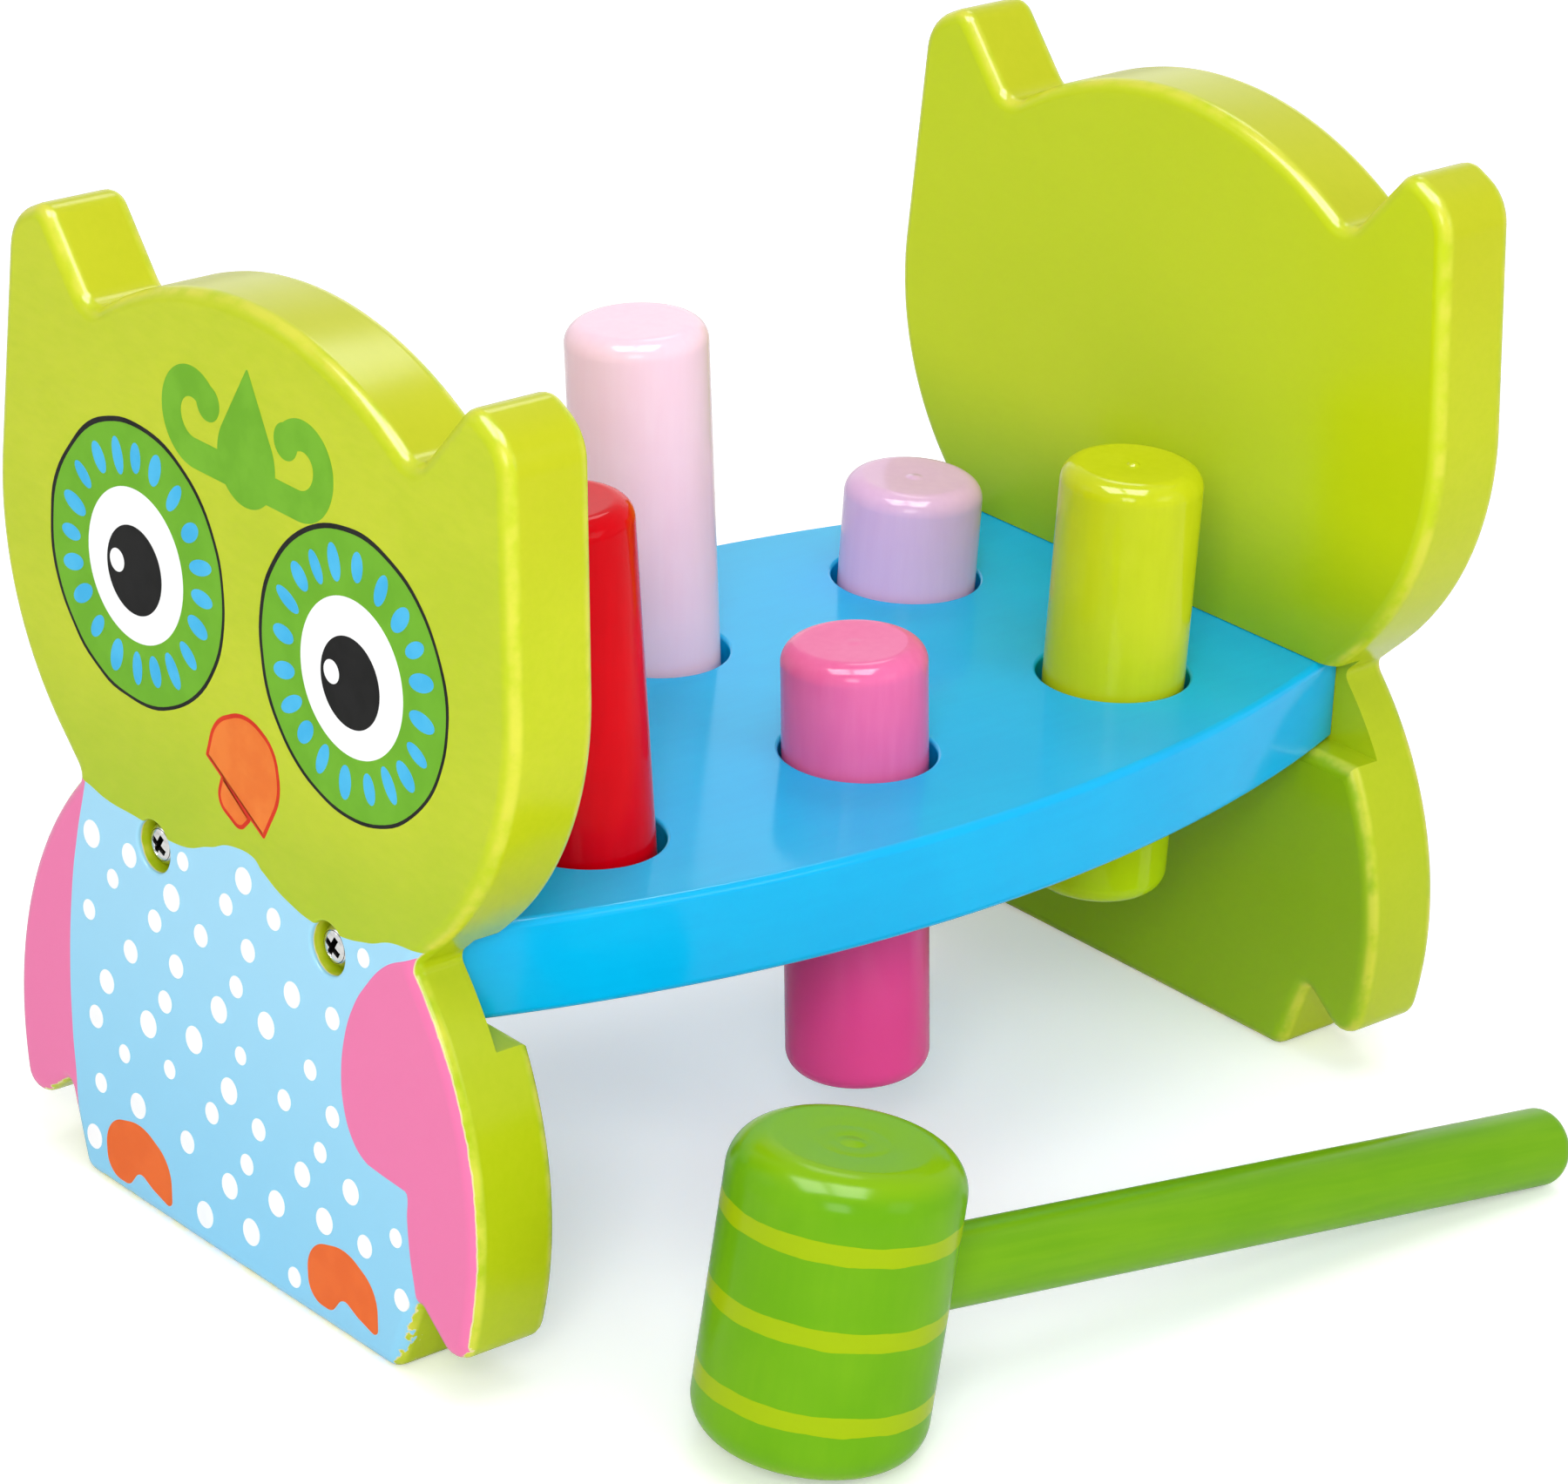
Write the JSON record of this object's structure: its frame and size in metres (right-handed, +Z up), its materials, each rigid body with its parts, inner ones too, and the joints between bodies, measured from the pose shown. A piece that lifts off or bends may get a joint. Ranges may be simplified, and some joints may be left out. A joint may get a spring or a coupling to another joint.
{
  "type": "peg pounding bench",
  "caption": "Wooden pounding bench with owl-shaped end panels, a barrel-sided drilled plate, coloured pegs that slide through it and a turned mallet.",
  "frame": {"origin": "middle of the bench's footprint, on the table that it stands on", "axes": "+Z up, +Y along the bench from the face panel to the rear panel, +X towards the mallet's side"},
  "size_m": [0.1894, 0.218, 0.1696],
  "materials": {
    "panel_paint": "gloss lacquer",
    "plate_paint": "gloss lacquer",
    "mallet_paint": "gloss lacquer",
    "red_paint": "gloss lacquer",
    "pink_paint": "gloss lacquer",
    "lime_paint": "gloss lacquer",
    "orange_paint": "gloss lacquer",
    "blush_paint": "gloss lacquer",
    "lilac_paint": "gloss lacquer",
    "ring_rubber": "matte",
    "screw_steel": "zinc plated"
  },
  "bodies": {
    "bench": {"front_panel": "panel_paint", "rear_panel": "panel_paint", "bench_plate": "plate_paint", "red_ring": "ring_rubber", "pink_ring": "ring_rubber", "lime_ring": "ring_rubber", "orange_ring": "ring_rubber", "blush_ring": "ring_rubber", "lilac_ring": "ring_rubber", "front_left_screw": "screw_steel", "front_right_screw": "screw_steel", "rear_left_screw": "screw_steel", "rear_right_screw": "screw_steel"},
    "red_peg": {"red_peg": "red_paint"},
    "pink_peg": {"pink_peg": "pink_paint"},
    "lime_peg": {"lime_peg": "lime_paint"},
    "orange_peg": {"orange_peg": "orange_paint"},
    "blush_peg": {"blush_peg": "blush_paint"},
    "lilac_peg": {"lilac_peg": "lilac_paint"},
    "mallet": {"mallet_head": "mallet_paint", "mallet_handle": "mallet_paint"}
  },
  "joints": [
    {"name": "red_peg_slide", "type": "slide", "parent": "bench", "child": "red_peg", "axis": [-0.0626, -0.0695, 0.9956], "range_m": [-0.0546, 0.0038]},
    {"name": "pink_peg_slide", "type": "slide", "parent": "bench", "child": "pink_peg", "axis": [-0.0376, -0.0418, 0.9984], "range_m": [-0.0164, 0.0422]},
    {"name": "lime_peg_slide", "type": "slide", "parent": "bench", "child": "lime_peg", "axis": [0.0141, 0.0157, 0.9998], "range_m": [-0.0358, 0.023]},
    {"name": "orange_peg_slide", "type": "slide", "parent": "bench", "child": "orange_peg", "axis": [0, 0, 1], "range_m": [-0.027, 0.032]},
    {"name": "blush_peg_slide", "type": "slide", "parent": "bench", "child": "blush_peg", "axis": [-0.0485, -0.0539, 0.9974], "range_m": [-0.0569, 0.0016]},
    {"name": "lilac_peg_slide", "type": "slide", "parent": "bench", "child": "lilac_peg", "axis": [0.0157, 0.0174, 0.9997], "range_m": [-0.016, 0.0428]},
    {"name": "mallet_lift", "type": "slide", "parent": "bench", "child": "mallet", "axis": [0, 0, 1], "range_m": [0, 0.2]}
  ]
}
